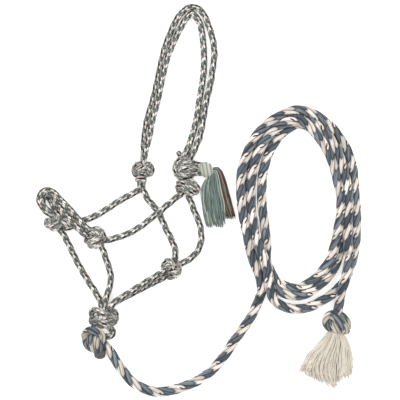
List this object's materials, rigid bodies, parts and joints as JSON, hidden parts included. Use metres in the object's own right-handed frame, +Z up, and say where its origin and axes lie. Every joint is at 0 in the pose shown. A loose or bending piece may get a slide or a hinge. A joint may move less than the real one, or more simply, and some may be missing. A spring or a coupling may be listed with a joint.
{
  "type": "rope halter",
  "caption": "Rope halter for a horse, tied from braided cord with knots, a looped noseband and a tasselled tie tail, with a long braided lead rope that ends in a knot and tassel.",
  "frame": {"origin": "on the surface the halter lies on, under the middle of the halter's own bounding box, the lead rope left out", "axes": "+Z up from the surface, +Y along the halter towards the crown, +X towards the side that carries the tie and its tassel; the halter lies on its side"},
  "size_m": [0.5808, 0.7025, 0.0355],
  "materials": {
    "sage_and_cream_rope": "round braid of sage and cream yarn with a dark brown tracer",
    "blue_and_cream_rope": "round braid of blue-grey and cream yarn with a brown tracer",
    "sage_threads": "loose twisted yarn",
    "cream_threads": "loose twisted yarn",
    "sealed_rope_end": "melted rope end"
  },
  "bodies": {
    "halter": {"off_side_cheek_knot": "sage_and_cream_rope", "near_side_cheek_knot": "sage_and_cream_rope", "tie_knot": "sage_and_cream_rope", "tie_slip_loop": "sage_and_cream_rope", "tie_tail_upper": "sage_and_cream_rope", "tie_tail_lower": "sage_and_cream_rope", "off_side_cheek_rope": "sage_and_cream_rope", "near_side_cheek_rope": "sage_and_cream_rope", "off_side_throat_rope": "sage_and_cream_rope", "near_side_throat_rope": "sage_and_cream_rope", "throat_knot": "sage_and_cream_rope", "off_side_nose_knot": "sage_and_cream_rope", "near_side_nose_knot": "sage_and_cream_rope", "off_side_chin_rope": "sage_and_cream_rope", "near_side_chin_rope": "sage_and_cream_rope", "jaw_rope_lower": "sage_and_cream_rope", "jaw_rope_upper": "sage_and_cream_rope", "chin_knot": "sage_and_cream_rope", "chin_loop": "sage_and_cream_rope", "lead_knot": "blue_and_cream_rope", "lead_cut_end": "sealed_rope_end"},
    "crown": {"crown_outer_strand": "sage_and_cream_rope", "crown_inner_strand": "sage_and_cream_rope"},
    "noseband": {"noseband_upper_rope": "sage_and_cream_rope", "noseband_middle_rope": "sage_and_cream_rope", "noseband_lower_rope": "sage_and_cream_rope"},
    "tie_tail": {"tie_tail_whipping": "cream_threads", "tie_tassel": "sage_threads"},
    "lead": {"lead_standing_part": "blue_and_cream_rope", "lead_coil": "blue_and_cream_rope", "lead_tail": "blue_and_cream_rope"},
    "lead_end": {"lead_stopper_knot": "blue_and_cream_rope", "lead_tassel": "cream_threads"}
  },
  "joints": [
    {"name": "crown_lift", "type": "hinge", "parent": "halter", "child": "crown", "pos_m": [0.06, 0.028, 0.027], "axis": [0.9755, 0.2199, 0], "range_deg": [0, 85]},
    {"name": "noseband_lift", "type": "hinge", "parent": "halter", "child": "noseband", "pos_m": [-0.121, -0.099, 0.032], "axis": [0.9009, -0.434, 0], "range_deg": [0, 75]},
    {"name": "tie_tail_lift", "type": "hinge", "parent": "halter", "child": "tie_tail", "pos_m": [0.1185, -0.002, 0.018], "axis": [0, -1, 0], "range_deg": [0, 80]},
    {"name": "lead_swing", "type": "hinge", "parent": "halter", "child": "lead", "pos_m": [-0.046, -0.322, 0.0085], "axis": [0, 0, 1], "range_deg": [-25, 0]},
    {"name": "lead_end_lift", "type": "hinge", "parent": "lead", "child": "lead_end", "pos_m": [0.364, -0.2555, 0.017], "axis": [-1, 0, 0], "range_deg": [0, 60]}
  ]
}
